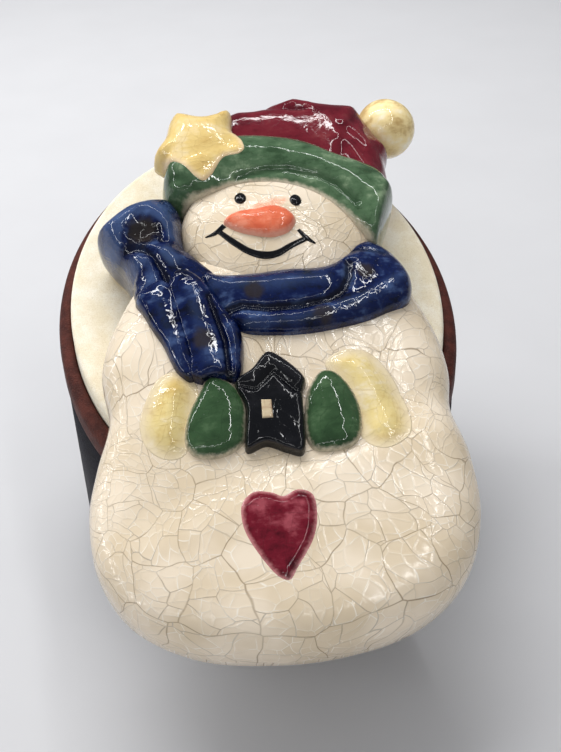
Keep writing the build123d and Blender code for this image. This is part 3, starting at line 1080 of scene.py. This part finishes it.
def build_figure():
    reliefs = make_reliefs()
    made = {name: relief.build() for name, relief in reliefs.items()}
    made["eyes"], made["mouth"] = build_slips(reliefs["head"])
    made["pompom"] = build_pompom()
    finish = {node: (material, slot) for material, slot, nodes in finishes for node in nodes}
    for name, obj in made.items():
        obj.name = name + "_clay"
        settle(obj, name, "figure", *finish[name])


def build_stand():
    rim_leather = leatherette("rim_leatherette", (84, 41, 33), (60, 28, 23), (104, 60, 50), 0.62)
    # The wall is the rim's brown leatherette in painted shade: near-black, with a painted blue reflection.
    wall_leather = leatherette("wall_leatherette", (17, 15, 27), (9, 8, 17), (28, 25, 40), 0.6)
    settle(build_rim(), "stand_rim", "stand", rim_leather, "rim_leatherette")
    settle(build_wrap(), "stand_wrap", "stand", wall_leather, "wall_leatherette")
    settle(build_suede(), "stand_suede", "stand", suede(), "pad_suede")
    inner = {
        "stand_board": plain_grain("pad_board_card", (172, 150, 116), (150, 128, 96), 1.5, 0.9),
        "stand_core": plain_grain("core_wood", (186, 148, 100), (150, 112, 70), 0.5, 0.7, (0.2, 1, 1)),
        "stand_foot": plain_grain("foot_felt", (44, 42, 46), (26, 24, 28), 3.0, 0.98, height=0.2),
    }
    for node, material in inner.items():
        paint(frame["nodes"][node], material)


# ---- stage, light and camera
def pale_floor():
    half = 3.0
    corners = [(-half, -half, 0), (half, -half, 0), (half, half, 0), (-half, half, 0)]
    mesh = bpy.data.meshes.new("floor")
    mesh.from_pydata(corners, [], [range(4)])
    t = Material("floor_paper", Roughness=0.8)
    flecks = t.noise(t.node("TexCoord").outputs["Object"], 40.0, 3.0)
    mesh.materials.append(t.finished(t.mix(flecks, (190, 190, 192), (196, 196, 198))))
    add_object("floor", mesh)


def area_light(name, size, power):
    light = bpy.data.lights.new(name, "AREA")
    light.shape = "RECTANGLE"
    light.size, light.size_y = size
    light.energy = power
    return add_object(name, light)


def soft_fill(name, place, target, size, power):
    """A soft light that shows in no reflection."""
    obj = area_light(name, size, power)
    obj.location = place
    obj.rotation_euler = (Vector(target) - Vector(place)).to_track_quat("-Z", "Y").to_euler()
    obj.visible_glossy = False


NEAR_STRIP_SHARE = 0.35  # the strip nearest the viewer is dimmed


def light_frame(centre_way, reach, half_size, width, power):
    """Four thin strips in a rectangle that faces the object, as a studio light frame."""
    target = Vector((0, 0, 0.05))
    ahead = Vector(centre_way).normalized()
    right = Vector((1, 0, 0))
    right = (right - right.dot(ahead) * ahead).normalized()
    up = ahead.cross(right)
    centre = target + ahead * reach
    half_width, half_height = half_size
    strips = [
        (right, up, half_width, half_height, 1),
        (-right, up, half_width, half_height, 1),
        (up, right, half_height, half_width, 1),
        (-up, right, half_height, half_width, NEAR_STRIP_SHARE),
    ]
    for k, (side, along, offset, length, share) in enumerate(strips):
        strip_power = share * power * length / (half_width + half_height)
        obj = area_light(f"strip_{k}", (width, 2 * length + width), strip_power)
        axes = Matrix((along.cross(ahead), along, ahead)).transposed().to_4x4()
        obj.matrix_world = Matrix.Translation(centre + side * offset) @ axes


def lighting():
    world = bpy.data.worlds.new("studio")
    bpy.context.scene.world = world
    world.use_nodes = True
    background = world.node_tree.nodes["Background"]
    background.inputs["Color"].default_value = colour(236, 240, 248)
    background.inputs["Strength"].default_value = 0.19
    light_frame(centre_way=(-0.47, -0.23, 0.85), reach=0.45, half_size=(0.46, 0.36), width=0.02, power=2.5)
    soft_fill("front_fill", (0.0, -0.5, 0.22), (0, 0, 0.04), (0.5, 0.3), 0.55)
    soft_fill("fill", (-0.08, 0.2, 0.42), (0, 0, 0.05), (0.4, 0.4), 2.4)


CAMERA_PLACE = (-0.02083, -0.16285, 0.14582)
CAMERA_DOWN = 0.61985  # angles in radians
CAMERA_TURN = 0.147526
CAMERA_ROLL = -0.0416143
CAMERA_LENS = 54.1


def photo_camera():
    """The viewing angle: down by about 36 degrees, a little from the left, slightly rolled."""
    data = bpy.data.cameras.new("camera")
    data.sensor_width = 36
    data.lens = CAMERA_LENS
    data.clip_start, data.clip_end = 0.01, 20
    camera = add_object("camera", data)
    camera.matrix_world = (Matrix.Translation(CAMERA_PLACE) @ Matrix.Rotation(-CAMERA_TURN, 4, "Z")
                           @ Matrix.Rotation(math.pi / 2 - CAMERA_DOWN, 4, "X")
                           @ Matrix.Rotation(CAMERA_ROLL, 4, "Z"))
    bpy.context.scene.camera = camera


bpy.context.scene.view_settings.view_transform = "Standard"
build_figure()
build_stand()
pale_floor()
lighting()
photo_camera()
